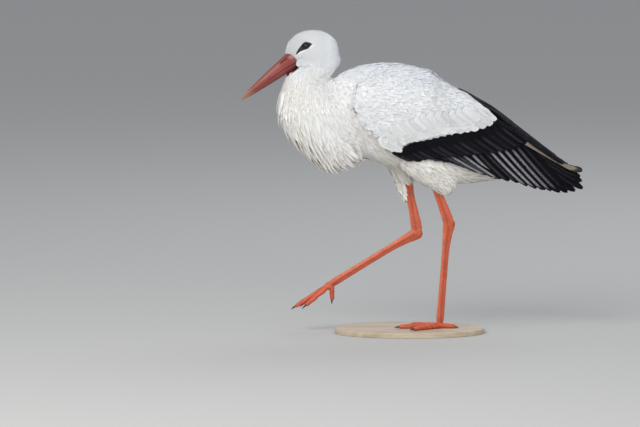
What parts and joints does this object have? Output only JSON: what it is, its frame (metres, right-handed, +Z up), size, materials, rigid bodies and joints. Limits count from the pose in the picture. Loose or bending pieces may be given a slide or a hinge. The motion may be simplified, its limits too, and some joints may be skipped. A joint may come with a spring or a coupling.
{
  "type": "white stork model",
  "caption": "Life-size still white stork striding with its neck drawn in and a foot raised, on a flat oval display base.",
  "frame": {"origin": "centre of the underside of the oval display base", "axes": "+Z up, -Y the way the bill points, +X the bird's left side"},
  "size_m": [0.214, 0.7561, 0.6704],
  "materials": {
    "white_feathers": "matte",
    "cream_feathers": "matte",
    "black_feathers": "satin",
    "bill": "satin",
    "claw": "satin",
    "eye": "gloss",
    "leg_skin": "satin",
    "stand": "satin"
  },
  "bodies": {
    "root": {"bill_lower": "bill", "bill_upper": "bill", "breast": "cream_feathers", "claw_left_hind": "claw", "claw_left_inner": "claw", "claw_left_middle": "claw", "claw_left_outer": "claw", "claw_right_hind": "claw", "claw_right_inner": "claw", "claw_right_middle": "claw", "claw_right_outer": "claw", "eye_left": "eye", "eye_right": "eye", "flight_left": "black_feathers", "flight_right": "black_feathers", "foot_left": "leg_skin", "foot_right": "leg_skin", "head": "white_feathers", "neck": "white_feathers", "shank_left": "leg_skin", "shank_right": "leg_skin", "stand_base": "stand", "tail": "cream_feathers", "tarsus_left": "leg_skin", "tarsus_right": "leg_skin", "thigh_left": "cream_feathers", "thigh_right": "cream_feathers", "trunk": "white_feathers", "wing_left": "white_feathers", "wing_right": "white_feathers"}
  },
  "joints": []
}
